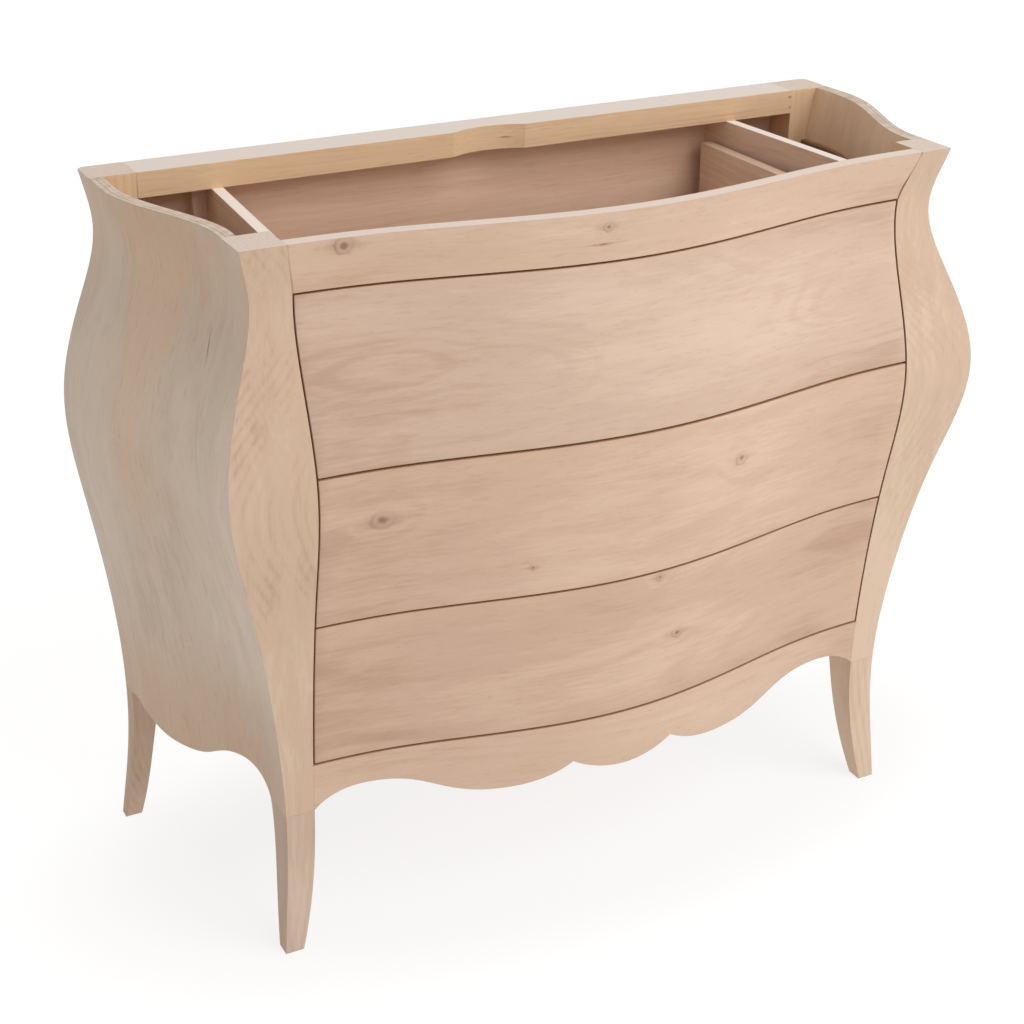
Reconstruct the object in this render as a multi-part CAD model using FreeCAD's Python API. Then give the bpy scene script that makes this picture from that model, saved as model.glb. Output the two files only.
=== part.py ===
import FreeCAD, Part
import math
import os

Vector = FreeCAD.Vector

# A bombe chest of three drawers, open at the top where its board will lie.
# Millimetres; +X is the viewer's right, -Y the front, +Z up, and the floor is z = 0.

# Carcass
overall_height = 850.0
carcass_depth = 355.0
front_neck_width = 829.4
front_post_width = 45.7
rear_splay = 56.3
rear_neck_width = front_neck_width + 2 * rear_splay
splice_height = 180.0
rear_splice_rise = 21.0
rear_splice_height = splice_height + rear_splice_rise
rear_kick = 26.0

# Stations of the bombe profile: the upper ones hang from the top, the lower ones stand on the floor,
# and the waist lies a little above the middle between belly and knee
neck_drop = 65.0
shoulder_drop = 150.0
belly_drop = 245.0
knee_height = 320.0
ankle_height = 160.0
waist_rise = 7.5
waist_height = (overall_height - belly_drop + knee_height) / 2 + waist_rise

# How far the front swells forward of its neck at each station
front_lip = 15.2
front_shoulder = 17.2
front_belly = 43.8
front_waist = 25.1
front_knee = -0.9
front_ankle = -12.8
front_foot = -6.1

# How far each side swells beyond its neck, along the front posts
side_lip = 12.2
side_shoulder = 23.9
side_belly = 48.4
side_waist = 26.8
side_knee = 0.2
side_ankle = -11.6
side_foot = 0.4

# The same along the rear posts
rear_lip = 11.0
rear_shoulder = 23.9
rear_belly = 50.6
rear_waist = 41.5
rear_knee = 20.0
rear_ankle = 14.0
rear_foot = 27.0

# Serpentine front: how far the middle bows out beyond the posts
bow_lip = 47.0
bow_neck = 53.0
bow_belly = 44.5
bow_waist = 49.5
bow_apron = 58.0

# S-shaped sides: where they start and end their turn outward, behind the front neck
turn_start = 60.0
turn_end = 242.0

# Front boards and drawers
opening_width = front_neck_width - 2 * front_post_width
rail_height = 56.0
rail_flare = 18.0
rail_flare_left = 8.0
apron_height = 62.0
apron_line = splice_height + apron_height
front_thickness = 18.0
drawer_gap = 2.6
drawer_side_gap = 2.0

# Scalloped edge of the apron, its heights above or below the splice
lobe_half_width = 66.0
lobe_drop = 10.5
cusp_rise = 7.5
scallop_dip_at = 148.0
scallop_dip = 13.5
scallop_crest_inset = 61.0
scallop_crest_at = opening_width / 2 - scallop_crest_inset
scallop_crest = 22.5

# Scalloped edge of the side panels, places behind the front neck and heights above the splice
arch_crest_setback = 111.0
arch_crest_rise = 34.0
arch_crest_height = splice_height + arch_crest_rise
lobe_setback = 175.0
lobe_rise = 16.0
lobe_height = splice_height + lobe_rise
rear_crest_setback = 275.0
rear_crest_rise = 31.0
rear_crest_height = splice_height + rear_crest_rise

# Posts and legs
front_post_depth = 52.0
front_leg_depth = 49.0
front_foot_width = 22.0
front_foot_depth = 20.0
rear_post_width = 53.0
rear_post_depth = 50.0
rear_leg_depth = 31.0
rear_foot_width = 21.0
rear_foot_depth = 20.0
rear_knee_height = 245.0
rear_chamfer = 6.0

# Side panels, cleats, rear rail and back
panel_thickness = 16.0
cleat_thickness = 6.0
cleat_height = 32.0
cleat_drop = 66.0
rear_rail_height = 29.0
scoop_length = 95.0
scoop_depth = 12.0
scoop_at = 0.0
back_thickness = 6.0
rear_bottom_rail_height = 40.0
rear_bottom_rail_depth = 20.0

# Inner boards that carry the drawers
guide_inset = 21.0
guide_spacing = opening_width - 2 * guide_inset
guide_splay = 19.0
guide_thickness = 13.0
guide_cleat_width = 18.0
bottom_thickness = 9.0
bottom_drop = 18.0
divider_height = 18.0
divider_reach = 56.0
divider_clearance = 4.0
runner_height = 16.0
runner_drop = 62.0
runner_play = 1.0

# Drawer boxes
drawer_side_thickness = 15.0
drawer_side_play = 1.5
drawer_side_drop = 2.0
drawer_side_rise = 22.0
drawer_end_clearance = 18.0
drawer_back_thickness = 14.0
drawer_back_height = 74.0
drawer_back_setback = 12.0
drawer_bottom_thickness = 6.0
drawer_bottom_rise = 8.0
groove_depth = 6.0

# Surfaces and cutting solids run this far past the pieces that they shape
margin = 24.0

drawer_names = ("top", "middle", "bottom")

neck_height = overall_height - neck_drop
shoulder_height = overall_height - shoulder_drop
belly_height = overall_height - belly_drop
opening_half = opening_width / 2
rail_line = overall_height - rail_height
drawer_pitch = (rail_line - apron_line) / len(drawer_names)


def steps(first, last, count):
    return [first + (last - first) * k / (count - 1) for k in range(count)]


def spline(points, parameters):
    curve = Part.BSplineCurve()
    curve.interpolate(Points=points, Parameters=parameters)
    return curve


def through(stations):
    """A smooth function of place that passes through (place, value) stations."""
    stations = sorted(stations)
    places = [place for place, value in stations]
    curve = spline([Vector(place, value, 0) for place, value in stations], places)
    return lambda place: curve.value(place).y


heights = [-margin, 0, ankle_height, knee_height, waist_height, belly_height, shoulder_height, neck_height,
           overall_height, overall_height + margin]


def upright(lip, neck, shoulder, belly, waist, knee, ankle, foot):
    """How one upright line of the chest swells, carried on straight past the floor and the top."""
    above = lip + (lip - neck) * margin / neck_drop
    below = foot + (foot - ankle) * margin / ankle_height
    return through(zip(heights, (below, foot, ankle, knee, waist, belly, shoulder, neck, lip, above)))


front_swell = upright(front_lip, 0, front_shoulder, front_belly, front_waist, front_knee, front_ankle, front_foot)
side_swell = upright(side_lip, 0, side_shoulder, side_belly, side_waist, side_knee, side_ankle, side_foot)
rear_swell = upright(rear_lip, 0, rear_shoulder, rear_belly, rear_waist, rear_knee, rear_ankle, rear_foot)
bow = upright(bow_lip, bow_neck, (bow_neck + bow_belly) / 2, bow_belly, bow_waist, (bow_waist + bow_apron) / 2,
              bow_apron, bow_apron)

# The chest is centred front to back between the belly of its drawers and its rear feet
front_reach = max(front_swell(z) + bow(z) for z in steps(apron_line, rail_line, 221))
overall_depth = front_reach + carcass_depth + rear_kick
neck_y = front_reach - overall_depth / 2
back_y = neck_y + carcass_depth
front_limit = -overall_depth / 2 - margin
back_limit = overall_depth / 2 + margin
side_stations = [(front_limit, 0), (neck_y + turn_start * 0.6, 0), (neck_y + turn_start, 0),
                 (neck_y + (turn_start + turn_end) / 2, 0.5), (neck_y + turn_end, 1),
                 (back_y - rear_post_depth, 1), (back_y - rear_leg_depth, 1), (back_limit, 1)]
side_columns = [y for y, share in side_stations]
side_share = through(side_stations)


def serpentine(x):
    """The share of the bow reached at a place across the front: none at the posts, all in the middle."""
    return (1 + math.cos(math.pi * min(abs(x) / opening_half, 1))) / 2


def front_y(x, z):
    return neck_y - front_swell(z) - bow(z) * serpentine(x)


def front_side_x(z):
    return front_neck_width / 2 + side_swell(z)


def rear_side_x(z):
    return rear_neck_width / 2 + rear_swell(z)


def side_x(y, z):
    return front_side_x(z) + (rear_side_x(z) - front_side_x(z)) * side_share(y)


def net_face(places, point):
    """A smooth face through a net of points at the given places and at the stations' heights."""
    rows = [spline([point(place, z) for place in places], places) for z in heights]
    columns = [spline(list(poles), heights) for poles in zip(*(row.getPoles() for row in rows))]
    surface = Part.BSplineSurface()
    surface.buildFromPolesMultsKnots(
        [column.getPoles() for column in columns],
        rows[0].getMultiplicities(), columns[0].getMultiplicities(), rows[0].getKnots(), columns[0].getKnots(),
        False, False, rows[0].Degree, columns[0].Degree)
    return surface.toShape()


def line(start, end):
    return Part.makeLine(start, end)


def bezier(*poles):
    curve = Part.BezierCurve()
    curve.setPoles(list(poles))
    return curve.toShape()


def prism(edges, direction):
    return Part.Face(Part.Wire(edges)).extrude(direction)


def block(x_range, y_range, z_range):
    corner = Vector(x_range[0], y_range[0], z_range[0])
    return Part.makeBox(x_range[1] - x_range[0], y_range[1] - y_range[0], z_range[1] - z_range[0], corner)


def across(x, z):
    """A point of an outline that is drawn as seen from the front."""
    return Vector(x, front_limit, z)


def along(y, z):
    """A point of an outline that is drawn as seen from the side."""
    return Vector(0, y, z)


def from_front(edges):
    return prism(edges, Vector(0, back_limit - front_limit, 0))


def from_side(edges):
    return prism(edges, Vector(side_limit, 0, 0))


side_limit = max(rear_side_x(z) for z in steps(0, overall_height, 35)) + margin

# The curved faces that the boards of the front and the side panels are cut from
edge_x = opening_half + max(rail_flare, rail_flare_left) + margin
front_columns = [-edge_x] + steps(-opening_half, opening_half, 9) + [edge_x]
front_face = net_face(front_columns, lambda x, z: Vector(x, front_y(x, z), z))
side_face = net_face(side_columns, lambda y, z: Vector(side_x(y, z), y, z))
front_stock = front_face.extrude(Vector(0, overall_depth / 4, 0))
side_stock = side_face.extrude(Vector(-overall_depth / 4, 0, 0))


def room_behind(low, high, clearance=0):
    """The room behind a board of the front, whose back is straight from its lower edge to its upper one."""
    back_bow = min(bow(low), bow(high))

    def level(z):
        lean = (z - low) / (high - low)
        swell = front_swell(low) * (1 - lean) + front_swell(high) * lean
        end_y = neck_y - swell + front_thickness + clearance
        points = [Vector(x, end_y - back_bow * serpentine(x), z) for x in front_columns]
        far_left, far_right = Vector(-edge_x, back_limit, z), Vector(edge_x, back_limit, z)
        return Part.Wire([spline(points, front_columns).toShape(), line(points[-1], far_right),
                          line(far_right, far_left), line(far_left, points[0])])
    return Part.makeLoft([level(low - margin), level(high + margin)], True, True)


def room_between_panels():
    """The room inside the right-hand panel, straight from each inner level to the next."""
    def level(z):
        points = [Vector(side_x(y, z) - panel_thickness, y, z) for y in side_columns]
        front_end, back_end = Vector(0, front_limit, z), Vector(0, back_limit, z)
        return Part.Wire([spline(points, side_columns).toShape(), line(points[-1], back_end),
                          line(back_end, front_end), line(front_end, points[0])])
    levels = [-margin, ankle_height, knee_height, waist_height, belly_height, neck_height, overall_height + margin]
    return Part.makeLoft([level(z) for z in levels], True, True)


side_room = room_between_panels()


def seam_x(z, flare):
    """Where the top rail and the drawers meet a post: straight, then flaring beside the rail."""
    return opening_half + flare * max(0, z - rail_line) / rail_height


def upright_edge(x_at):
    """The bombe edge of a post and its leg, as seen from the front."""
    return spline([across(x_at(z), z) for z in heights], heights).toShape(0, overall_height)


def front_corner(flare):
    """Front post and leg in one: a bombe profile, trimmed by the bombe side and by the leg's taper."""
    lip_y = neck_y - front_lip
    foot_y = neck_y - front_foot
    knee_y = neck_y - front_swell(splice_height) + front_leg_depth
    heel_y = foot_y + front_foot_depth
    face = spline([along(neck_y - front_swell(z), z) for z in heights], heights)
    profile = from_side([
        face.toShape(0, overall_height),
        line(along(lip_y, overall_height), along(lip_y + front_post_depth, overall_height)),
        line(along(lip_y + front_post_depth, overall_height), along(knee_y, splice_height)),
        bezier(along(knee_y, splice_height), along((knee_y * 3 + heel_y) / 4, splice_height * 0.8),
               along((knee_y * 2 + heel_y) / 3, splice_height / 2), along(heel_y, 0)),
        line(along(heel_y, 0), along(foot_y, 0)),
    ])
    lip_x = front_side_x(overall_height)
    foot_x = front_side_x(0)
    toe_x = foot_x - front_foot_width
    outline = from_front([
        upright_edge(front_side_x),
        line(across(lip_x, overall_height), across(seam_x(overall_height, flare), overall_height)),
        line(across(seam_x(overall_height, flare), overall_height), across(opening_half, rail_line)),
        line(across(opening_half, rail_line), across(opening_half, splice_height)),
        bezier(across(opening_half, splice_height), across(opening_half, splice_height * 0.67),
               across((opening_half * 2 + toe_x) / 3, splice_height / 3), across(toe_x, 0)),
        line(across(toe_x, 0), across(foot_x, 0)),
    ])
    return profile.common(outline)


def rear_corner():
    """Rear post and leg in one: straight at the back, its foot swept back and out."""
    face_y = back_y - rear_post_depth
    knee_y = back_y - rear_leg_depth
    heel_y = back_y + rear_kick
    toe_y = heel_y - rear_foot_depth
    profile = from_side([
        line(along(back_y, overall_height), along(face_y, overall_height)),
        line(along(face_y, overall_height), along(knee_y, rear_splice_height)),
        bezier(along(knee_y, rear_splice_height), along(knee_y, rear_splice_height * 0.67),
               along((knee_y * 2 + toe_y) / 3, rear_splice_height / 3), along(toe_y, 0)),
        line(along(toe_y, 0), along(heel_y, 0)),
        bezier(along(heel_y, 0), along((heel_y * 2 + back_y) / 3, rear_splice_height / 4),
               along(back_y, rear_splice_height / 2), along(back_y, rear_splice_height)),
        line(along(back_y, rear_splice_height), along(back_y, overall_height)),
    ])
    lip_x = rear_side_x(overall_height)
    foot_x = rear_side_x(0)
    toe_x = foot_x - rear_foot_width
    ankle_x = (rear_post_x + toe_x * 2) / 3
    outline = from_front([
        upright_edge(rear_side_x),
        line(across(lip_x, overall_height), across(rear_post_x, overall_height)),
        line(across(rear_post_x, overall_height), across(rear_post_x, rear_knee_height)),
        bezier(across(rear_post_x, rear_knee_height), across(ankle_x, rear_knee_height * 0.75),
               across(ankle_x, rear_knee_height * 0.4), across(toe_x, 0)),
        line(across(toe_x, 0), across(foot_x, 0)),
    ])
    corner = profile.common(outline)
    return corner.makeChamfer(rear_chamfer, [edge for edge in corner.Edges if is_rear_arris(edge)])


def is_rear_arris(edge):
    """Whether an edge is the upright one between the outer side and the back of a rear post."""
    middle = edge.valueAt((edge.FirstParameter + edge.LastParameter) / 2)
    return middle.y > back_y - 1 and abs(middle.x - rear_side_x(middle.z)) < 1 and edge.Length > rear_post_depth


def cut_at(shape, height):
    """The parts of a corner above and below its splice."""
    x_range = (0, side_limit)
    y_range = (front_limit, back_limit)
    above = shape.common(block(x_range, y_range, (height, overall_height + margin)))
    below = shape.common(block(x_range, y_range, (-margin, height)))
    return above, below


def panel_edges():
    """Places where the side panel meets its posts, as lines seen from the side."""
    front_top = along(neck_y - front_lip + front_post_depth, overall_height)
    front_foot_point = along(neck_y - front_swell(splice_height) + front_leg_depth, splice_height)
    rear_top = along(back_y - rear_post_depth, overall_height)
    rear_foot_point = along(back_y - rear_leg_depth, rear_splice_height)
    return front_top, front_foot_point, rear_top, rear_foot_point


def side_panel():
    front_top, front_low, rear_top, rear_low = panel_edges()
    crest = along(neck_y + arch_crest_setback, arch_crest_height)
    lobe = along(neck_y + lobe_setback, lobe_height)
    rear_crest = along(neck_y + rear_crest_setback, rear_crest_height)
    crest_turn = (crest.y + front_low.y) / 2
    lobe_turn = (crest.y + lobe.y) / 2
    rear_turn = (rear_crest.y + lobe.y) / 2
    outline = from_side([
        line(front_top, front_low),
        bezier(front_low, along(front_low.y + (crest.y - front_low.y) / 6, (front_low.z + crest.z) / 2),
               along(crest_turn, crest.z), crest),
        bezier(crest, along(lobe_turn, crest.z), along(lobe_turn, lobe.z), lobe),
        bezier(lobe, along(rear_turn, lobe.z), along(rear_turn, rear_crest.z), rear_crest),
        bezier(rear_crest, along((rear_crest.y + rear_low.y) / 2, rear_crest.z), rear_low),
        line(rear_low, rear_top),
        line(rear_top, front_top),
    ])
    return side_stock.common(outline).cut(side_room)


def side_cleat():
    """A thin strip glued along the inside of the panel from post to post, bent as the panel is."""
    front_top, front_low, rear_top, rear_low = panel_edges()
    between_posts = from_side([line(front_top, front_low), line(front_low, rear_low),
                               line(rear_low, rear_top), line(rear_top, front_top)])
    high = overall_height - cleat_drop
    level = block((0, side_limit), (neck_y, back_y), (high - cleat_height, high))
    inside = side_room.translated(Vector(-cleat_thickness, 0, 0))
    return level.common(between_posts).common(side_room).cut(inside)


def top_front_rail():
    low = rail_line + drawer_gap / 2
    corners = [across(-seam_x(low, rail_flare_left), low), across(seam_x(low, rail_flare), low),
               across(seam_x(overall_height, rail_flare), overall_height),
               across(-seam_x(overall_height, rail_flare_left), overall_height)]
    edges = [line(corners[k - 1], corners[k]) for k in range(4)]
    return front_stock.common(from_front(edges)).cut(room_behind(low, overall_height))


apron_room = room_behind(splice_height, apron_line - drawer_gap / 2)


def front_apron():
    """Serpentine board with a central lobe between two cusps and a long scallop to each leg."""
    top = apron_line - drawer_gap / 2
    cusp = across(lobe_half_width, splice_height + cusp_rise)
    dip = across(scallop_dip_at, splice_height - scallop_dip)
    crest = across(scallop_crest_at, splice_height + scallop_crest)
    corner = across(opening_half, splice_height)
    swing = (dip.x + crest.x) / 2
    half = [
        bezier(cusp, across(cusp.x + (dip.x - cusp.x) / 5, (cusp.z + dip.z) / 2),
               across((cusp.x + dip.x) / 2, dip.z), dip),
        bezier(dip, across(swing, dip.z), across(swing, crest.z), crest),
        bezier(crest, across((crest.x + corner.x) / 2, crest.z),
               across(corner.x - (corner.x - crest.x) / 6, (crest.z + corner.z) / 2), corner),
        line(corner, across(opening_half, top)),
    ]
    mirrored = [edge.mirror(Vector(0, 0, 0), Vector(1, 0, 0)) for edge in half]
    lobe = Part.Arc(across(-cusp.x, cusp.z), across(0, splice_height - lobe_drop), cusp).toShape()
    lid = line(across(-opening_half, top), across(opening_half, top))
    board = front_stock.common(from_front(Part.__sortEdges__(half + mirrored + [lobe, lid])))
    return board.cut(apron_room)


def top_rear_rail():
    """Straight rail between the rear posts, with a shallow scoop where wood was lost from its front face."""
    face_y = back_y - rear_post_depth
    rail = block((-rear_post_x, rear_post_x), (face_y, back_y), (rail_underside, overall_height))
    radius = (scoop_length ** 2 / 4 + scoop_depth ** 2) / (2 * scoop_depth)
    centre = Vector(scoop_at, face_y - radius + scoop_depth, rail_underside - margin)
    return rail.cut(Part.makeCylinder(radius, rear_rail_height + 2 * margin, centre))


rear_post_x = rear_neck_width / 2 + rear_lip - rear_post_width
back_face_y = back_y - back_thickness
guide_front_x = guide_spacing / 2
guide_back_x = guide_front_x - guide_splay
guide_front_y = neck_y + divider_reach
bottom_top_z = apron_line - bottom_drop
rail_underside = overall_height - rear_rail_height
rear_bottom_y = back_face_y - rear_bottom_rail_depth


def back_panel():
    bottom = bottom_top_z - rear_bottom_rail_height
    return block((-rear_post_x, rear_post_x), (back_face_y, back_y), (bottom, rail_underside))


def rear_bottom_rail(corner):
    """Rail under the dust board, its ends scribed to the rear posts."""
    half_length = rear_post_x + rear_post_width / 2
    z_range = (bottom_top_z - rear_bottom_rail_height, bottom_top_z - bottom_thickness)
    rail = block((-half_length, half_length), (rear_bottom_y, back_face_y), z_range)
    return rail.cut(corner).cut(flipped(corner))


def bottom_panel():
    """Dust board under the lowest drawer; its front edge follows the apron's back."""
    z_range = (bottom_top_z - bottom_thickness, bottom_top_z)
    half_width = guide_front_x + guide_thickness
    board = block((-half_width, half_width), (front_limit, back_face_y), z_range)
    return board.common(apron_room)


def guide_x(y):
    """The inner face of a guide panel, which nears the middle towards the back."""
    return guide_front_x - guide_splay * (y - guide_front_y) / (back_face_y - guide_front_y)


def guide_outer_x(y):
    return guide_x(y) + guide_thickness


def beside_guide(near_x, far_x, y_range, z_range):
    """An upright piece whose two sides lie at the given places in front and behind."""
    front, back = y_range
    low, high = z_range
    corners = [Vector(near_x(front), front, low), Vector(far_x(front), front, low),
               Vector(far_x(back), back, low), Vector(near_x(back), back, low)]
    return prism([line(corners[k - 1], corners[k]) for k in range(4)], Vector(0, 0, high - low))


def guide_panel():
    return beside_guide(guide_x, guide_outer_x, (guide_front_y, back_face_y), (bottom_top_z, rail_underside))


def guide_cleat():
    """Upright batten in the corner of guide and back panel."""
    far_x = guide_outer_x(back_face_y) + guide_cleat_width
    return beside_guide(guide_outer_x, lambda y: far_x, (back_face_y - guide_cleat_width, back_face_y),
                        (bottom_top_z, rail_underside))


def divider_rail(front_top, front_bottom):
    """Rail from post to post behind a drawer front's lower edge, its own front edge following that."""
    z_range = (front_bottom, front_bottom + divider_height)
    room = room_behind(front_bottom, front_top, divider_clearance)
    return block((-opening_half, opening_half), (front_limit, guide_front_y), z_range).common(room)


def runner(front_top):
    """Batten on the guide panel that enters the groove of a drawer side."""
    tip_x = drawer_outer_x - groove_depth + runner_play
    top = front_top - runner_drop
    return beside_guide(lambda y: tip_x, guide_x, (guide_front_y, back_face_y), (top - runner_height, top))


drawer_outer_x = guide_back_x - drawer_side_play
drawer_inner_x = drawer_outer_x - drawer_side_thickness
drawer_end_y = back_face_y - drawer_end_clearance


def drawer(front_top, front_bottom):
    """Front, sides, back and bottom of one drawer, keyed by the piece's name."""
    half_width = opening_half - drawer_side_gap
    room = room_behind(front_bottom, front_top)
    outline = block((-half_width, half_width), (front_limit, back_limit), (front_bottom, front_top))
    front = front_stock.common(outline).cut(room)
    low = front_bottom + drawer_side_rise
    high = front_top - drawer_side_drop
    bottom_z = low + drawer_bottom_rise
    bottom_top = bottom_z + drawer_bottom_thickness

    tongue_x = drawer_inner_x + groove_depth
    bottom = block((-tongue_x, tongue_x), (front_limit, drawer_end_y), (bottom_z, bottom_top)).common(room)

    runner_top = front_top - runner_drop
    blank = block((drawer_inner_x, drawer_outer_x), (front_limit, drawer_end_y), (low, high)).common(room)
    groove = block((drawer_outer_x - groove_depth, drawer_outer_x), (front_limit, back_limit),
                   (runner_top - runner_height - runner_play, runner_top))
    side = blank.cut(groove).cut(bottom)

    back_front_y = drawer_end_y - drawer_back_setback - drawer_back_thickness
    back = block((-drawer_inner_x, drawer_inner_x), (back_front_y, back_front_y + drawer_back_thickness),
                 (bottom_top, bottom_top + drawer_back_height))
    return {"front": front, "side_right": side, "side_left": flipped(side), "back": back,
            "bottom": bottom}


def flipped(shape):
    """The left-hand twin of a right-hand piece."""
    return shape.mirror(Vector(0, 0, 0), Vector(1, 0, 0))


def pair(pieces, name, shape):
    pieces[name + "_right"] = shape
    pieces[name + "_left"] = flipped(shape)


def chest():
    pieces = {}
    right_post, front_leg = cut_at(front_corner(rail_flare), splice_height)
    left_post = cut_at(front_corner(rail_flare_left), splice_height)[0]
    rear = rear_corner()
    rear_post, rear_leg = cut_at(rear, rear_splice_height)
    pieces["front_post_right"] = right_post
    pieces["front_post_left"] = flipped(left_post)
    pair(pieces, "front_leg", front_leg)
    pair(pieces, "rear_post", rear_post)
    pair(pieces, "rear_leg", rear_leg)
    pair(pieces, "side_panel", side_panel())
    pair(pieces, "side_cleat", side_cleat())
    pair(pieces, "guide_panel", guide_panel())
    pair(pieces, "guide_cleat", guide_cleat())
    pieces["top_front_rail"] = top_front_rail()
    pieces["top_rear_rail"] = top_rear_rail()
    pieces["front_apron"] = front_apron()
    pieces["back_panel"] = back_panel()
    pieces["rear_bottom_rail"] = rear_bottom_rail(rear)
    pieces["bottom_panel"] = bottom_panel()
    for k, name in enumerate(drawer_names):
        front_top = rail_line - k * drawer_pitch - drawer_gap / 2
        front_bottom = front_top - drawer_pitch + drawer_gap
        pair(pieces, name + "_runner", runner(front_top))
        for piece, shape in drawer(front_top, front_bottom).items():
            pieces[name + "_drawer_" + piece] = shape
        if name != drawer_names[-1]:
            pieces[name + "_divider_rail"] = divider_rail(front_top, front_bottom)
    return pieces


os.makedirs("parts", exist_ok=True)
for node, shape in chest().items():
    if len(shape.Solids) != 1:
        raise ValueError(node + " is not one solid")
    shape.Solids[0].exportStep("parts/" + node + ".step")
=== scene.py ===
import math
from collections import namedtuple

import bpy
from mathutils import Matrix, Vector

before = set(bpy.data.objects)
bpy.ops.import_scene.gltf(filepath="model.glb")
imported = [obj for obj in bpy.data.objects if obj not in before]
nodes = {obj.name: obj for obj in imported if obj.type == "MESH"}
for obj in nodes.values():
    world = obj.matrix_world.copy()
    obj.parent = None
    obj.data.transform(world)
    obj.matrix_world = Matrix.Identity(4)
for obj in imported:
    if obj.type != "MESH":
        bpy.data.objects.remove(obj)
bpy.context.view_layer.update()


def srgb(red, green, blue):
    """A linear colour from display values between 0 and 255."""
    def linear(value):
        value /= 255
        return value / 12.92 if value <= 0.04045 else ((value + 0.055) / 1.055) ** 2.4
    return linear(red), linear(green), linear(blue), 1


# Marks on a board, placed in metres of the row frame; widths and heights are measured from the middle.
# A knot without darkness only bends the figure around it.
Knot = namedtuple("Knot", "x z width height darkness")
Seam = namedtuple("Seam", "x flare darkness")
Patch = namedtuple("Patch", "x z width height")
Crack = namedtuple("Crack", "y z slant")
Pin = namedtuple("Pin", "x y")
# Growth layers of a post: how they lean, their turns in radians per metre, and how much they show
Growth = namedtuple("Growth", "lean_x lean_y lean_z turns strength")

# Each wood's pale, middle and deep colour, and the tones at which they stand
TONES = 0.05, 0.45, 0.95
PALE_FRONT = srgb(200, 173, 152), srgb(190, 162, 141), srgb(175, 144, 122)
TOP_DRAWER = srgb(196, 171, 152), srgb(186, 160, 141), srgb(170, 142, 122)
PINK_FRONT = srgb(198, 170, 149), srgb(188, 158, 137), srgb(172, 140, 119)
BOTTOM_DRAWER = srgb(195, 167, 146), srgb(185, 155, 134), srgb(169, 137, 116)
SIDE_VENEER = srgb(200, 186, 169), srgb(190, 174, 157), srgb(175, 156, 138)
POST = srgb(194, 170, 148), srgb(184, 158, 136), srgb(168, 139, 116)
LEG = srgb(188, 166, 147), srgb(178, 154, 135), srgb(162, 134, 113)
REAR_LEG = srgb(190, 166, 144), srgb(176, 151, 129), srgb(156, 129, 107)
WHEAT = srgb(223, 194, 160), srgb(212, 180, 145), srgb(189, 155, 120)
INNER = srgb(229, 202, 181), srgb(219, 189, 168), srgb(199, 166, 143)
CLEAT = srgb(176, 140, 108), srgb(160, 124, 94), srgb(140, 104, 76)
PLY = srgb(224, 195, 173), srgb(214, 182, 159), srgb(196, 162, 138)

# Colours laid over them
FRONT_PORE, FRONT_FLECK = srgb(132, 98, 76), srgb(140, 104, 80)
KNOT_HEART, SEAM_SHADE = srgb(116, 82, 60), srgb(96, 64, 44)
# The rim colour is wood pale from sanding, made paler still by a painted highlight from above
FRONT_EDGE, SANDED_RIM_AND_HIGHLIGHT = srgb(184, 141, 108), srgb(236, 220, 208)
SIDE_PORE, SIDE_FLECK = srgb(130, 106, 90), srgb(138, 112, 92)
SIDE_BROWN, SIDE_BELLY, SIDE_ENDS = srgb(193, 164, 138), srgb(212, 194, 175), srgb(166, 138, 116)
CRACK_SHADE = srgb(110, 74, 56)
SIDE_INSIDE = srgb(236, 206, 176), srgb(219, 188, 157)
PLY_EDGE, GLUE_LINE = (srgb(224, 209, 192), srgb(206, 188, 168)), srgb(150, 118, 90)
POST_PORE = srgb(140, 106, 80)
# Painted shade for the posts' inner faces in the gaps beside the drawers, and painted light for them above the rail's
# foot
POST_INNER_SHADE, POST_INNER_LIGHT = srgb(112, 86, 66), srgb(232, 186, 140)
END_GRAIN = srgb(230, 216, 203), srgb(217, 199, 183)
PLAIN_PORE, DASH_SHADE = srgb(120, 86, 62), srgb(122, 76, 48)
# The rear rail's and guide panels' upper faces: wood pale from sanding, made paler by a painted highlight from above
REAR_RAIL_TOP_HIGHLIGHT, GUIDE_TOP_HIGHLIGHT = srgb(235, 224, 216), srgb(252, 241, 232)

# What a board's textures add to its seed, so that they don't follow each other
PLY_SEED, STREAK_SEED, PATCH_SEED, GLUE_SEED, PORE_SEED, CLOUD_SEED = 2, 3, 5, 5, 7, 9
KNOT_SEED, END_SEED, BROWN_SEED, MOTTLE_SEED, CRACK_SEED, FLECK_SEED, INSIDE_SEED = 11, 13, 15, 17, 21, 23, 40
SEED_STRIDES = 1, 1.7, 2.3

# In veneer the fibres are shorter, and change less through its thin axis
VENEER_LENGTH, VENEER_THROUGH = 0.4, 0.2
# How far on both sides of its middle, 0.5, a noise is stretched
NOISE_SPREAD, FINE_SPREAD, STREAK_SPREAD = 0.2, 0.22, 0.3
DARKEST_KNOT = 0.8
# Surface: relief of the grain, and the radius of worn edges in metres
FIBRE_HEIGHT, PORE_DEPTH = 0.5, 0.5
SPECULAR, RELIEF_STRENGTH, RELIEF_DISTANCE = 0.28, 0.25, 0.0006
WORN_EDGE = 0.0009

# Heights of the front rail's foot and the rim, and half the width of the seams beside the rail
RAIL_FOOT, RIM = 0.794, 0.85
SEAM_WIDTH = 0.0025
# The side panels' outer face at the rim runs in an S from its front end to its rear end
SIDE_FRONT_Y, SIDE_REAR_Y, SIDE_FRONT_X, SIDE_REAR_X = -0.098, 0.108, 0.4269, 0.482
# Squared radii of a pin head's core and rim
PIN_CORE, PIN_RIM = 0.000002, 0.000006


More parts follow.
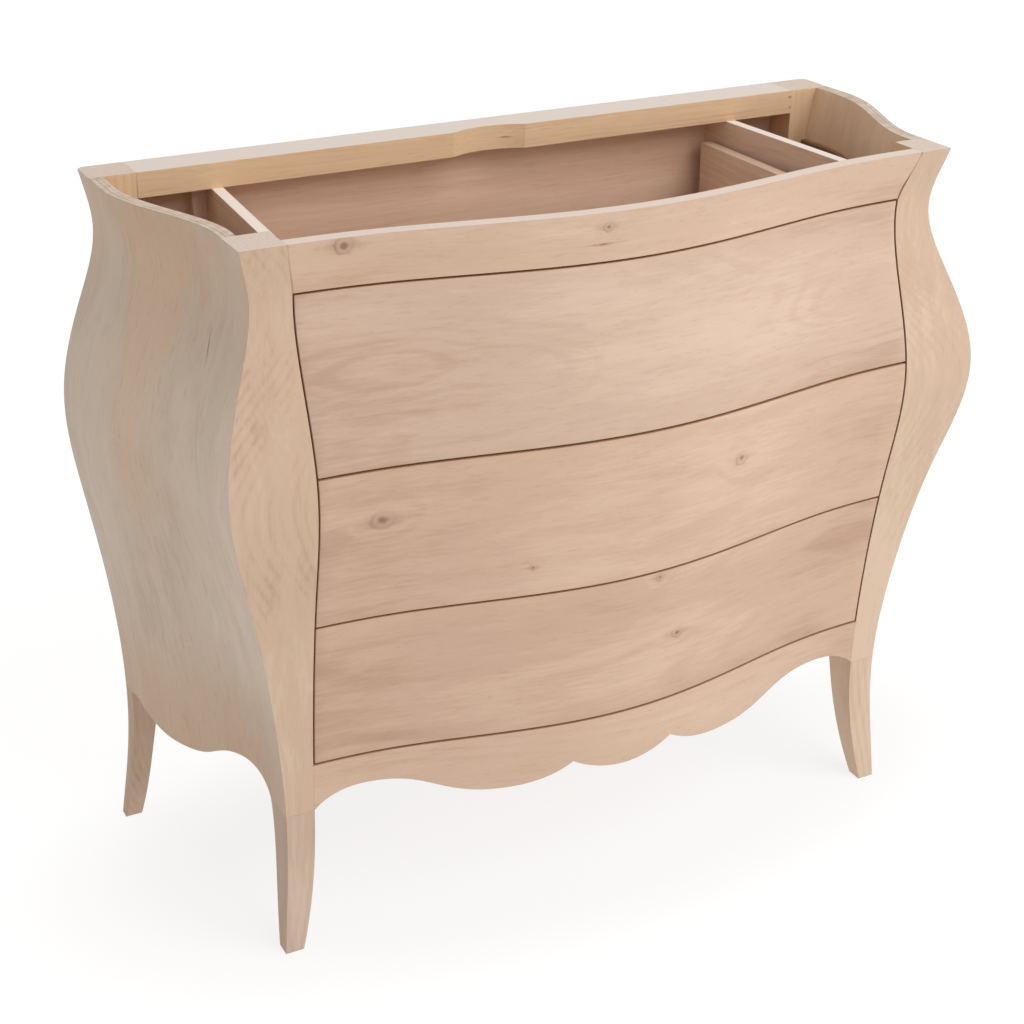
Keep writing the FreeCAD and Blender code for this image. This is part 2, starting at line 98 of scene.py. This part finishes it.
class Wood:
    """A material in the making: each call adds shader nodes and returns an output."""

    def __init__(self, name):
        self.material = bpy.data.materials.new(name)
        self.material.use_nodes = True
        self.tree = self.material.node_tree
        self.tree.nodes.clear()
        self.place = self.add("ShaderNodeTexCoord").outputs["Object"]
        self.x, self.y, self.z = self.split(self.place)
        self.facing_x, _, self.facing_z = self.split(self.add("ShaderNodeNewGeometry").outputs["Normal"])

    def add(self, kind, **settings):
        node = self.tree.nodes.new(kind)
        for name, value in settings.items():
            setattr(node, name, value)
        return node

    def feed(self, socket, value):
        if isinstance(value, bpy.types.NodeSocket):
            self.tree.links.new(value, socket)
        else:
            socket.default_value = value

    def split(self, vector):
        node = self.add("ShaderNodeSeparateXYZ")
        self.feed(node.inputs[0], vector)
        return node.outputs[0], node.outputs[1], node.outputs[2]

    def compute(self, operation, first, second=0.0):
        node = self.add("ShaderNodeMath", operation=operation)
        self.feed(node.inputs[0], first)
        self.feed(node.inputs[1], second)
        return node.outputs[0]

    def plus(self, first, second):
        return self.compute("ADD", first, second)

    def minus(self, first, second):
        return self.compute("SUBTRACT", first, second)

    def times(self, first, second):
        return self.compute("MULTIPLY", first, second)

    def absolute(self, value):
        return self.compute("ABSOLUTE", value)

    def larger(self, first, second):
        return self.compute("MAXIMUM", first, second)

    def smaller(self, first, second):
        return self.compute("MINIMUM", first, second)

    def weigh(self, *parts):
        """The sum of values, each given with its weight."""
        total, *others = [self.times(value, weight) for value, weight in parts]
        for other in others:
            total = self.plus(total, other)
        return total

    def step(self, value, low, high, start=0.0, end=1.0):
        """A smooth change from start to end while the value goes from low to high."""
        node = self.add("ShaderNodeMapRange", interpolation_type="SMOOTHSTEP")
        for socket, item in zip(node.inputs, (value, low, high, start, end)):
            self.feed(socket, item)
        return node.outputs[0]

    def fade(self, value, low, high, start=1.0):
        """A smooth fall from start to nothing."""
        return self.step(value, low, high, start, end=0)

    def near(self, value, centre, reach):
        """One at the centre, nothing beyond its reach on either side."""
        return self.fade(self.absolute(self.minus(value, centre)), low=0, high=reach)

    def contrast(self, noise, spread=NOISE_SPREAD, start=0.0, end=1.0):
        """A noise stretched over the range from start to end."""
        return self.step(noise, 0.5 - spread, 0.5 + spread, start, end)

    def flat(self, facing):
        """One on faces that look squarely along an axis."""
        return self.step(facing, low=0.8, high=0.95)

    def offset(self, value, centre, unit):
        return self.times(self.minus(value, centre), 1 / unit)

    def squares(self, first, second):
        return self.plus(self.times(first, first), self.times(second, second))

    def mix(self, share, first, second):
        node = self.add("ShaderNodeMix", data_type="RGBA")
        for index, value in ((0, share), (6, first), (7, second)):
            self.feed(node.inputs[index], value)
        return node.outputs[2]

    def coat(self, colour, shade, mask, strength):
        """The colour with a shade laid over it where the mask is."""
        return self.mix(self.times(mask, strength), colour, shade)

    def stain(self, tone, palette):
        node = self.add("ShaderNodeValToRGB")
        band = node.color_ramp
        band.interpolation = "EASE"
        while len(band.elements) < len(palette):
            band.elements.new(1)
        for element, at, colour in zip(band.elements, TONES, palette):
            element.position = at
            element.color = colour
        self.feed(node.inputs[0], tone)
        return node.outputs[0]

    def noise(self, scale, seed, detail=2.0, roughness=0.5, distortion=0.0):
        spread = self.add("ShaderNodeVectorMath", operation="MULTIPLY_ADD")
        self.feed(spread.inputs[0], self.place)
        spread.inputs[1].default_value = scale
        spread.inputs[2].default_value = [seed * stride for stride in SEED_STRIDES]
        node = self.add("ShaderNodeTexNoise")
        self.feed(node.inputs["Vector"], spread.outputs[0])
        for name, value in (("Scale", 1), ("Detail", detail), ("Roughness", roughness), ("Distortion", distortion)):
            node.inputs[name].default_value = value
        return node.outputs[0]

    def swing(self, noise, amount):
        """A noise around nothing, by the amount."""
        return self.times(self.minus(noise, 0.5), amount)

    def relief(self, fine, pore, lines=None, groove=0.0):
        """Raised fibres between sunken pores and figure lines."""
        sunk = self.times(pore, PORE_DEPTH)
        if lines is not None:
            sunk = self.plus(sunk, self.times(lines, groove))
        return self.minus(self.times(fine, FIBRE_HEIGHT), sunk)

    def finish(self, colour, height, streak, smoothest, roughest):
        """The material, with edges that look worn and streaks that change its roughness."""
        shader = self.add("ShaderNodeBsdfPrincipled")
        shader.inputs["Specular IOR Level"].default_value = SPECULAR
        self.feed(shader.inputs["Base Color"], colour)
        self.feed(shader.inputs["Roughness"], self.contrast(streak, STREAK_SPREAD, smoothest, roughest))
        worn = self.add("ShaderNodeBevel", samples=4)
        worn.inputs["Radius"].default_value = WORN_EDGE
        bump = self.add("ShaderNodeBump")
        self.feed(bump.inputs["Normal"], worn.outputs[0])
        bump.inputs["Strength"].default_value = RELIEF_STRENGTH
        bump.inputs["Distance"].default_value = RELIEF_DISTANCE
        self.feed(bump.inputs["Height"], height)
        self.feed(shader.inputs["Normal"], bump.outputs[0])
        output = self.add("ShaderNodeOutputMaterial")
        self.feed(output.inputs[0], shader.outputs[0])
        return self.material


def scales(along, slow, fast, through=""):
    """Noise scales per axis: slow along the grain, fast across it. Veneer names the axis through which it is thin."""
    if through:
        slow /= VENEER_LENGTH
    by_axis = {along: slow, through: fast * VENEER_THROUGH}
    return tuple(by_axis.get(axis, fast) for axis in "xyz")


def fibres(wood, along, seed, through=""):
    """Fine fibres and broader streaks along the grain."""
    fine = wood.noise(scales(along, slow=9, fast=300, through=through), seed, detail=3, roughness=0.6)
    streak = wood.noise(scales(along, slow=2.2, fast=46, through=through), seed + STREAK_SEED, detail=3,
                        roughness=0.55)
    return fine, streak


def pores(wood, along, seed, through=""):
    """Short open pores along the grain."""
    noise = wood.noise(scales(along, slow=38, fast=620, through=through), seed + PORE_SEED, detail=1)
    return wood.step(noise, low=0.62, high=0.74)


def flecks(wood, scale, seed):
    noise = wood.noise(scale, seed + FLECK_SEED, roughness=0.6)
    return wood.step(noise, low=0.58, high=0.72)


def knot_marks(wood, knots, seed):
    """How much knots bend the figure around them, and how dark their hearts, rings and halos are."""
    wobble = wood.minus(wood.noise((120, 120, 120), seed + KNOT_SEED, detail=3, roughness=0.6), 0.5)
    most_wobble, wobble_width = 0.8, 0.007
    dark_bend, plain_bend, bend_reach = 0.09, 0.16, 5
    ring_start, ring_end, halo_share, halo_squeeze = 0.45, 0.1, 0.42, 0.35
    bend, dark = 0.0, 0.0
    for knot in knots:
        side = wood.offset(wood.x, knot.x, knot.width)
        rise = wood.offset(wood.z, knot.z, knot.height)
        away = wood.compute("SQRT", wood.squares(side, rise))
        away = wood.plus(away, wood.times(wobble, min(most_wobble, wobble_width / knot.width)))
        most_bend = dark_bend if knot.darkness else plain_bend
        bend = wood.plus(bend, wood.fade(away, low=0, high=bend_reach, start=most_bend))
        heart = wood.fade(away, low=0.05, high=0.6, start=knot.darkness)
        ring_shade = wood.step(wood.plus(side, rise), low=-1.2, high=1.2,
                               start=knot.darkness * ring_start, end=knot.darkness * ring_end)
        ring = wood.times(wood.near(away, centre=0.95, reach=0.3), ring_shade)
        smear = wood.plus(wood.absolute(wood.times(side, halo_squeeze)), wood.absolute(rise))
        halo = wood.fade(wood.plus(smear, wobble), low=0.2, high=1.5, start=knot.darkness * halo_share)
        dark = wood.larger(dark, wood.plus(heart, wood.plus(ring, halo)))
    return bend, dark


def front_board(name, seed, palette, knots=(), flame=1.0, paleness=None, seams=()):
    """Level flame figure of the drawer fronts, rail and apron, with painted shade at both ends; plain wood on their
    edges, and an upper rim pale from sanding and from a painted highlight from above.
    """
    wood = Wood(name)
    fine, streak = fibres(wood, "x", seed, through="y")
    pore = pores(wood, "x", seed, through="y")
    fleck = flecks(wood, (36, 30, 230), seed)
    bend, dark = knot_marks(wood, knots, seed)

    rings = 90
    field = wood.plus(wood.noise((1.1, 4, 6.5), seed, detail=1.6, roughness=0.4, distortion=0.2), bend)
    lines = wood.step(wood.compute("SINE", wood.times(field, rings)), low=-0.3, high=1)
    lines = wood.times(lines, wood.step(wood.noise((3.5, 6, 16), seed + PATCH_SEED), low=0.4, high=0.66))
    cloud = wood.contrast(wood.noise((2.4, 5, 9), seed + CLOUD_SEED, detail=3))
    mottle = wood.contrast(wood.noise((12, 20, 60), seed + MOTTLE_SEED, detail=3, roughness=0.6))
    tone = wood.weigh((cloud, 0.36), (lines, 0.16 * flame), (mottle, 0.1), (wood.contrast(streak), 0.12))
    # Painted shade: both ends of the bowed front are darker
    painted_shade_at_ends = wood.step(wood.absolute(wood.x), low=0.1, high=0.36, end=0.2)
    tone = wood.plus(tone, painted_shade_at_ends)
    tone = wood.plus(tone, wood.times(wood.contrast(fine, FINE_SPREAD), 0.16))
    if paleness:
        side = wood.offset(wood.x, paleness.x, paleness.width)
        rise = wood.offset(wood.z, paleness.z, paleness.height)
        tone = wood.minus(tone, wood.fade(wood.squares(side, rise), low=0, high=1, start=0.22))

    colour = wood.stain(tone, palette)
    colour = wood.coat(colour, FRONT_PORE, pore, strength=0.1)
    colour = wood.coat(colour, FRONT_FLECK, fleck, strength=0.11)
    colour = wood.mix(wood.smaller(dark, DARKEST_KNOT), colour, KNOT_HEART)
    for seam in seams:
        line_x = wood.plus(wood.times(wood.step(wood.z, RAIL_FOOT, RIM), seam.flare), seam.x)
        colour = wood.coat(colour, SEAM_SHADE, wood.near(wood.x, line_x, SEAM_WIDTH), seam.darkness)
    edge = wood.larger(wood.absolute(wood.facing_z), wood.absolute(wood.facing_x))
    colour = wood.coat(colour, FRONT_EDGE, wood.flat(edge), strength=0.9)
    # Painted highlight: the rail's upper face is pale from sanding and paler still from painted light from above
    sanded_and_highlit = wood.times(wood.step(wood.facing_z, low=0.75, high=0.95), wood.step(wood.z, low=0.844, high=0.848))
    colour = wood.coat(colour, SANDED_RIM_AND_HIGHLIGHT, sanded_and_highlit, strength=0.95)
    height = wood.relief(fine, pore, lines, groove=0.15)
    return wood.finish(colour, height, streak, smoothest=0.62, roughest=0.78)


def side_figure(wood, seed, crack=None):
    """Greyish upright veneer of the sides with browner bands: its colour, relief and streaks."""
    fine, streak = fibres(wood, "z", seed, through="x")
    pore = pores(wood, "z", seed, through="x")
    fleck = flecks(wood, (40, 200, 26), seed)
    cloud = wood.contrast(wood.noise((4, 7, 3), seed + CLOUD_SEED, detail=3))
    mottle = wood.contrast(wood.noise((14, 48, 15), seed + MOTTLE_SEED, detail=3, roughness=0.6))
    tone = wood.weigh((cloud, 0.5), (mottle, 0.16), (wood.contrast(streak), 0.07),
                      (wood.contrast(fine, FINE_SPREAD), 0.18))
    colour = wood.stain(tone, SIDE_VENEER)

    brown_share = 0.8
    brown = wood.times(wood.noise((6, 16, 3), seed + BROWN_SEED, detail=3, roughness=0.6), brown_share)
    brown = wood.plus(brown, wood.step(wood.z, low=0.66, high=0.8, end=0.2))
    band = wood.near(wood.y, centre=0.02, reach=0.085)
    brown = wood.plus(brown, wood.times(band, wood.step(wood.z, low=0.42, high=0.62, end=0.34)))
    brown = wood.plus(brown, wood.fade(wood.z, low=0.2, high=0.42, start=0.34))
    colour = wood.coat(colour, SIDE_BROWN, wood.step(brown, low=0.36, high=0.8), strength=0.75)
    colour = wood.coat(colour, SIDE_BELLY, wood.near(wood.z, centre=0.66, reach=0.15), strength=0.32)
    ends = wood.plus(wood.step(wood.z, low=0.76, high=0.84), wood.fade(wood.z, low=0.22, high=0.36))
    colour = wood.coat(colour, SIDE_ENDS, ends, strength=0.28)
    colour = wood.coat(colour, SIDE_PORE, pore, strength=0.14)
    colour = wood.coat(colour, SIDE_FLECK, fleck, strength=0.16)
    height = wood.relief(fine, pore)
    if crack:
        line_y = wood.plus(wood.times(wood.minus(wood.z, crack.z), crack.slant), crack.y)
        line_y = wood.plus(line_y, wood.swing(wood.noise((0, 9, 9), seed + CRACK_SEED), amount=0.012))
        closed_share = 0.4
        open_part = wood.near(wood.z, centre=crack.z + 0.034, reach=0.025)
        closed_part = wood.times(wood.near(wood.z, centre=crack.z - 0.085, reach=0.1), closed_share)
        mark = wood.times(wood.near(wood.y, line_y, reach=0.0018), wood.larger(open_part, closed_part))
        colour = wood.coat(colour, CRACK_SHADE, mark, strength=0.65)
        height = wood.minus(height, mark)
    return colour, height, streak


def side_board(name, outward, seed, crack=None, pins=()):
    """A side panel: grey veneer outside, brown wood inside, and pale plies with pin heads on its edges."""
    wood = Wood(name)
    colour, height, streak = side_figure(wood, seed, crack)
    inner_fine, inner_streak = fibres(wood, "z", seed + INSIDE_SEED)
    inner = wood.mix(wood.contrast(wood.weigh((inner_fine, 0.5), (inner_streak, 0.5)), STREAK_SPREAD), *SIDE_INSIDE)
    colour = wood.mix(wood.step(wood.times(wood.facing_x, -outward), low=0.3, high=0.6), colour, inner)

    outer_face = wood.step(wood.y, SIDE_FRONT_Y, SIDE_REAR_Y, SIDE_FRONT_X, SIDE_REAR_X)
    depth = wood.plus(outer_face, wood.times(wood.x, -outward))
    depth = wood.plus(depth, wood.swing(wood.noise((120, 120, 20), seed + GLUE_SEED), amount=0.0012))
    inner_share, outer_share = 0.6, 0.5
    glue = wood.near(depth, centre=0.0062, reach=0.0011)
    glue = wood.plus(glue, wood.times(wood.near(depth, centre=0.0112, reach=0.001), inner_share))
    glue = wood.plus(glue, wood.times(wood.fade(depth, low=0.0008, high=0.002), outer_share))
    for pin in pins:
        away = wood.squares(wood.minus(wood.x, pin.x), wood.minus(wood.y, pin.y))
        glue = wood.plus(glue, wood.fade(away, PIN_CORE, PIN_RIM))
    plies = wood.mix(wood.contrast(wood.noise((70, 70, 70), seed + PLY_SEED, detail=3), spread=0.15), *PLY_EDGE)
    plies = wood.coat(plies, GLUE_LINE, wood.smaller(glue, 1), strength=0.62)
    colour = wood.mix(wood.flat(wood.absolute(wood.facing_z)), colour, plies)
    return wood.finish(colour, height, streak, smoothest=0.64, roughest=0.8)


def post_board(name, outward, seed, growth, palette, veneer_seed=None, inner_face_colour=POST_INNER_SHADE, lift=0.0):
    """Upright solid wood whose growth layers are cut open by the swelling faces.

    A seed for veneer gives it the sides' veneer on its outer face and, on its inner one, painted shade in the gaps
    beside the drawers with painted light above the rail's foot. Lift makes its lower part paler: painted light.
    """
    wood = Wood(name)
    fine, streak = fibres(wood, "z", seed)
    pore = pores(wood, "z", seed)
    lean = wood.plus(wood.times(wood.y, growth.lean_y), wood.times(wood.z, growth.lean_z))
    layer = wood.plus(wood.times(wood.x, growth.lean_x), lean)
    waviness = 0.012
    layer = wood.plus(layer, wood.times(wood.noise((9, 9, 2), seed), waviness))
    lines = wood.step(wood.compute("SINE", wood.times(layer, growth.turns)), low=-0.3, high=1)
    lines = wood.times(lines, wood.step(wood.noise((16, 16, 5), seed + PATCH_SEED), low=0.34, high=0.6))
    cloud = wood.contrast(wood.noise((8, 8, 2.6), seed + CLOUD_SEED, detail=3, roughness=0.55))
    mottle = wood.contrast(wood.noise((70, 70, 12), seed + MOTTLE_SEED, detail=3, roughness=0.6))
    tone = wood.weigh((cloud, 0.3), (lines, growth.strength), (mottle, 0.12), (wood.contrast(streak), 0.2),
                      (wood.contrast(fine, FINE_SPREAD), 0.16))
    # Painted light: the lower part is made paler
    if lift:
        tone = wood.minus(tone, wood.fade(wood.z, low=0.36, high=0.62, start=lift))

    colour = wood.stain(tone, palette)
    colour = wood.coat(colour, POST_PORE, pore, strength=0.1)
    if veneer_seed:
        veneer, _, _ = side_figure(wood, veneer_seed)
        colour = wood.mix(wood.step(wood.times(wood.facing_x, outward), low=0.45, high=0.55), colour, veneer)
        # Painted shade on the inner face in the gaps beside the drawers; painted light on it above the rail's foot
        inner = wood.flat(wood.times(wood.facing_x, -outward))
        shade = wood.mix(wood.step(wood.z, low=0.79, high=0.8), inner_face_colour, POST_INNER_LIGHT)
        colour = wood.coat(colour, shade, inner, strength=0.6)
    grain = wood.contrast(wood.noise((260, 900, 60), seed + END_SEED))
    colour = wood.mix(wood.flat(wood.facing_z), colour, wood.mix(grain, *END_GRAIN))
    height = wood.relief(fine, pore, lines, groove=0.2)
    return wood.finish(colour, height, streak, smoothest=0.62, roughest=0.8)


def plain_board(name, along, seed, palette, top=None, figure=0.2, dashes=()):
    """Planed inner wood with straight grain; its upper face may have another colour, pale from sanding and from a
    painted highlight from above.
    """
    wood = Wood(name)
    fine, streak = fibres(wood, along, seed)
    pore = pores(wood, along, seed)
    rings = 120
    field = wood.noise(scales(along, slow=0.9, fast=14), seed, roughness=0.45, distortion=0.1)
    lines = wood.step(wood.compute("SINE", wood.times(field, rings)), low=0.1, high=1)
    cloud = wood.noise(scales(along, slow=2.5, fast=10), seed + CLOUD_SEED, detail=3, roughness=0.55)
    tone = wood.weigh((wood.contrast(cloud), 0.34), (lines, figure), (wood.contrast(streak), 0.26),
                      (wood.contrast(fine, FINE_SPREAD), 0.2))
    colour = wood.stain(tone, palette)
    colour = wood.coat(colour, PLAIN_PORE, pore, strength=0.14)
    for dash in dashes:
        mark = wood.times(wood.near(wood.x, dash.x, dash.width), wood.near(wood.z, dash.z, dash.height))
        colour = wood.coat(colour, DASH_SHADE, mark, strength=0.75)
    # The top colour is wood pale from sanding, with a painted highlight from above
    if top:
        colour = wood.coat(colour, top, wood.flat(wood.facing_z), strength=0.94)
    height = wood.relief(fine, pore, lines, groove=0.15)
    return wood.finish(colour, height, streak, smoothest=0.64, roughest=0.82)


def dress(material, *names):
    for name in names:
        nodes[name].data.materials.clear()
        nodes[name].data.materials.append(material)


def dress_side(side, outward, seed, veneer_seed, lift, leg_palette, post_lines):
    """The posts, legs, guide panel and cleats on the left or the right."""
    post_growth = Growth(0.35 * outward, 1, 0.04, turns=1400, strength=post_lines)
    leg_growth = Growth(0.5 * outward, 1, 0.05, turns=1250, strength=0.17)
    rear_growth = Growth(0.6 * outward, 1, 0.05, turns=1100, strength=0.17)
    middle_wheat = WHEAT[1]
    dress(post_board("front_post_wood_" + side, outward, seed, post_growth, POST, veneer_seed, lift=lift),
          "front_post_" + side)
    dress(post_board("front_leg_wood_" + side, outward, seed + 2, leg_growth, leg_palette, lift=lift),
          "front_leg_" + side)
    dress(post_board("rear_post_wood_" + side, outward, seed + 4, rear_growth, WHEAT, veneer_seed, middle_wheat),
          "rear_post_" + side)
    dress(post_board("rear_leg_wood_" + side, outward, seed + 6, rear_growth, REAR_LEG), "rear_leg_" + side)
    dress(plain_board("guide_wood_" + side, "y", seed + 8, INNER, GUIDE_TOP_HIGHLIGHT, figure=0.1), "guide_panel_" + side)
    dress(plain_board("cleat_wood_" + side, "y", seed + 9, CLEAT), "side_cleat_" + side)
    dress(plain_board("guide_cleat_wood_" + side, "z", seed + 10, INNER), "guide_cleat_" + side)


def dress_drawer_box(name, seed):
    """A drawer's runners, sides, back and bottom."""
    dress(plain_board(name + "_runner_wood", "y", seed, INNER), name + "_runner_left", name + "_runner_right",
          name + "_drawer_side_left", name + "_drawer_side_right")
    dress(plain_board(name + "_drawer_back_wood", "x", seed + 2, INNER), name + "_drawer_back")
    dress(plain_board(name + "_drawer_ply", "y", seed + 3, PLY), name + "_drawer_bottom")


def ease_edges(width, *names):
    """Real, slightly worn edges. The loaded meshes are split along sharp edges, so these are joined first."""
    for name in names:
        weld = nodes[name].modifiers.new("joined_faces", "WELD")
        weld.merge_threshold = 0.000005
        worn = nodes[name].modifiers.new("worn_edges", "BEVEL")
        worn.width = width
        worn.segments = 2
        worn.limit_method = "ANGLE"
        worn.angle_limit = math.radians(40)
        worn.harden_normals = True


def make_floor(reach=14, grey=0.15, roughness=0.9):
    """A floor that glows, less so in an oval around the chest, where the weaker glow is a painted soft shadow."""
    oval_x, oval_y = 0.55, 0.26
    glow_range = {"From Min": 0.75, "From Max": 1.5, "To Min": 0.79, "To Max": 0.9}
    mesh = bpy.data.meshes.new("floor")
    mesh.from_pydata([(-reach, -reach, 0), (reach, -reach, 0), (reach, reach, 0), (-reach, reach, 0)], [],
                     [(0, 1, 2, 3)])
    paper = bpy.data.materials.new("floor_paper")
    paper.use_nodes = True
    tree = paper.node_tree
    shader = tree.nodes["Principled BSDF"]
    shader.inputs["Base Color"].default_value = (grey, grey, grey, 1)
    shader.inputs["Roughness"].default_value = roughness
    shader.inputs["Emission Color"].default_value = (1, 1, 1, 1)
    place = tree.nodes.new("ShaderNodeTexCoord")
    around = tree.nodes.new("ShaderNodeVectorMath")
    around.operation = "MULTIPLY"
    around.inputs[1].default_value = (1 / oval_x, 1 / oval_y, 0)
    away = tree.nodes.new("ShaderNodeVectorMath")
    away.operation = "LENGTH"
    glow = tree.nodes.new("ShaderNodeMapRange")
    glow.interpolation_type = "SMOOTHSTEP"
    for name, value in glow_range.items():
        glow.inputs[name].default_value = value
    tree.links.new(place.outputs["Object"], around.inputs[0])
    tree.links.new(around.outputs[0], away.inputs[0])
    tree.links.new(away.outputs["Value"], glow.inputs[0])
    tree.links.new(glow.outputs[0], shader.inputs["Emission Strength"])
    mesh.materials.append(paper)
    ground = bpy.data.objects.new("floor", mesh)
    bpy.context.scene.collection.objects.link(ground)
    return ground


def make_room(*stops):
    """A pale room whose colour changes with height."""
    world = bpy.data.worlds.new("studio")
    world.use_nodes = True
    tree = world.node_tree
    place = tree.nodes.new("ShaderNodeTexCoord")
    split = tree.nodes.new("ShaderNodeSeparateXYZ")
    ramp = tree.nodes.new("ShaderNodeValToRGB")
    for element, (height, colour) in zip(ramp.color_ramp.elements, stops):
        element.position = height
        element.color = colour
    tree.links.new(place.outputs["Generated"], split.inputs[0])
    tree.links.new(split.outputs[2], ramp.inputs[0])
    tree.links.new(ramp.outputs[0], tree.nodes["Background"].inputs["Color"])
    bpy.context.scene.world = world


def place_and_aim(thing, place, direction):
    thing.location = place
    thing.rotation_mode = "QUATERNION"
    thing.rotation_quaternion = direction.to_track_quat("-Z", "Y")
    bpy.context.scene.collection.objects.link(thing)


def softbox(name, place, aim, size, power, colour):
    light = bpy.data.lights.new(name, "AREA")
    light.shape = "SQUARE"
    light.size = size
    light.energy = power
    light.color = colour
    place_and_aim(bpy.data.objects.new(name, light), place, Vector(aim) - Vector(place))


def make_camera(azimuth, elevation, distance, target, lens, sensor=36):
    """The camera, at angles in degrees around the target; azimuth 0 looks at the front."""
    view = bpy.data.cameras.new("camera")
    view.sensor_width = sensor
    view.lens = lens
    camera = bpy.data.objects.new("camera", view)
    turn, climb = math.radians(azimuth), math.radians(elevation)
    back = Vector((math.sin(turn) * math.cos(climb), -math.cos(turn) * math.cos(climb), math.sin(climb)))
    place_and_aim(camera, Vector(target) + back * distance, -back)
    bpy.context.scene.camera = camera


ease_edges(WORN_EDGE, "top_drawer_front", "middle_drawer_front", "bottom_drawer_front")

# Front
RAIL_KNOTS = (Knot(-0.318, 0.841, 0.010, 0.0095, 0.75), Knot(-0.044, 0.834, 0.006, 0.006, 0.6),
              Knot(-0.048, 0.815, 0.012, 0.0016, 0.7))
RAIL_SEAMS = Seam(0.369, 0.018, 1), Seam(-0.369, -0.008, 0.35)
TOP_KNOTS = (Knot(-0.2613, 0.7084, 0.034, 0.012, 0), Knot(-0.1204, 0.6947, 0.022, 0.011, 0),
             Knot(0.2937, 0.6924, 0.03, 0.013, 0))
MIDDLE_KNOTS = (Knot(-0.299, 0.5526, 0.014, 0.010, 0.6), Knot(0.1225, 0.5503, 0.008, 0.008, 0.55),
                Knot(-0.1306, 0.4639, 0.004, 0.004, 0.6))
BOTTOM_KNOTS = Knot(0.0283, 0.4182, 0.005, 0.005, 0.5), Knot(0.0633, 0.3317, 0.008, 0.007, 0.55)
TOP_PALENESS, MIDDLE_PALENESS = Patch(0.04, 0.7, 0.26, 0.14), Patch(0.03, 0.52, 0.26, 0.14)
dress(front_board("rail_wood", 2.1, PALE_FRONT, RAIL_KNOTS, flame=0.8, seams=RAIL_SEAMS), "top_front_rail")
dress(front_board("top_drawer_wood", 5.3, TOP_DRAWER, TOP_KNOTS, flame=0.8, paleness=TOP_PALENESS),
      "top_drawer_front")
dress(front_board("middle_drawer_wood", 9.2, PINK_FRONT, MIDDLE_KNOTS, paleness=MIDDLE_PALENESS),
      "middle_drawer_front")
dress(front_board("bottom_drawer_wood", 14.6, BOTTOM_DRAWER, BOTTOM_KNOTS), "bottom_drawer_front")
dress(front_board("apron_wood", 21.4, PALE_FRONT, flame=0.8), "front_apron")

# Sides; the veneer on the posts goes on from the panels', so it has their seed
LEFT_VENEER, RIGHT_VENEER = 3.7, 8.9
LEFT_CRACK = Crack(-0.0725, 0.69, 0.222)
LEFT_PINS = Pin(-0.4722, 0.1569), Pin(-0.4125, -0.1058)
dress(side_board("left_side_veneer", -1, LEFT_VENEER, LEFT_CRACK, LEFT_PINS), "side_panel_left")
dress(side_board("right_side_veneer", 1, RIGHT_VENEER), "side_panel_right")
dress_side("left", -1, seed=4.4, veneer_seed=LEFT_VENEER, lift=0, leg_palette=LEG, post_lines=0.16)
# On the right the lower post and leg are paler, and the leg has the paler post colours: painted light from the right
dress_side("right", 1, seed=12.8, veneer_seed=RIGHT_VENEER, lift=0.36, leg_palette=POST, post_lines=0.09)

# Back and inside
REAR_RAIL_DASHES = (Patch(0.0249, 0.8348, 0.011, 0.0016), Patch(0.4283, 0.8418, 0.007, 0.0022),
                    Patch(0.4297, 0.8287, 0.006, 0.0022))
dress(plain_board("rear_rail_wood", "x", 6.5, WHEAT, REAR_RAIL_TOP_HIGHLIGHT, figure=0.1, dashes=REAR_RAIL_DASHES),
      "top_rear_rail")
dress(plain_board("back_ply", "x", 17.5, PLY, figure=0.06), "back_panel", "bottom_panel")
dress(plain_board("rear_bottom_rail_wood", "x", 27.5, INNER), "rear_bottom_rail", "top_divider_rail",
      "middle_divider_rail")
dress_drawer_box("top", seed=31.3)
dress_drawer_box("middle", seed=36.3)
dress_drawer_box("bottom", seed=41.3)

floor = make_floor()

# Soft studio light: a pale room that is brightest near the floor, a lamp on the right and a large one high in front
make_room((0.02, (0.98, 0.965, 0.95, 1)), (0.6, (0.46, 0.44, 0.42, 1)))
softbox("right_lamp", place=(1.9, -1.5, 0.8), aim=(0.2, 0, 0.35), size=1.1, power=14, colour=(0.86, 0.94, 1))
softbox("high_lamp", place=(1.7, -3.7, 4.6), aim=(0, 0, 0.5), size=4, power=200, colour=(1, 0.987, 0.98))

# The photograph's viewing angle
make_camera(azimuth=-27.02, elevation=25.28, distance=2.3915, target=(-0.015, 0.0714, 0.3898), lens=67.73)
bpy.context.scene.view_settings.view_transform = "Standard"
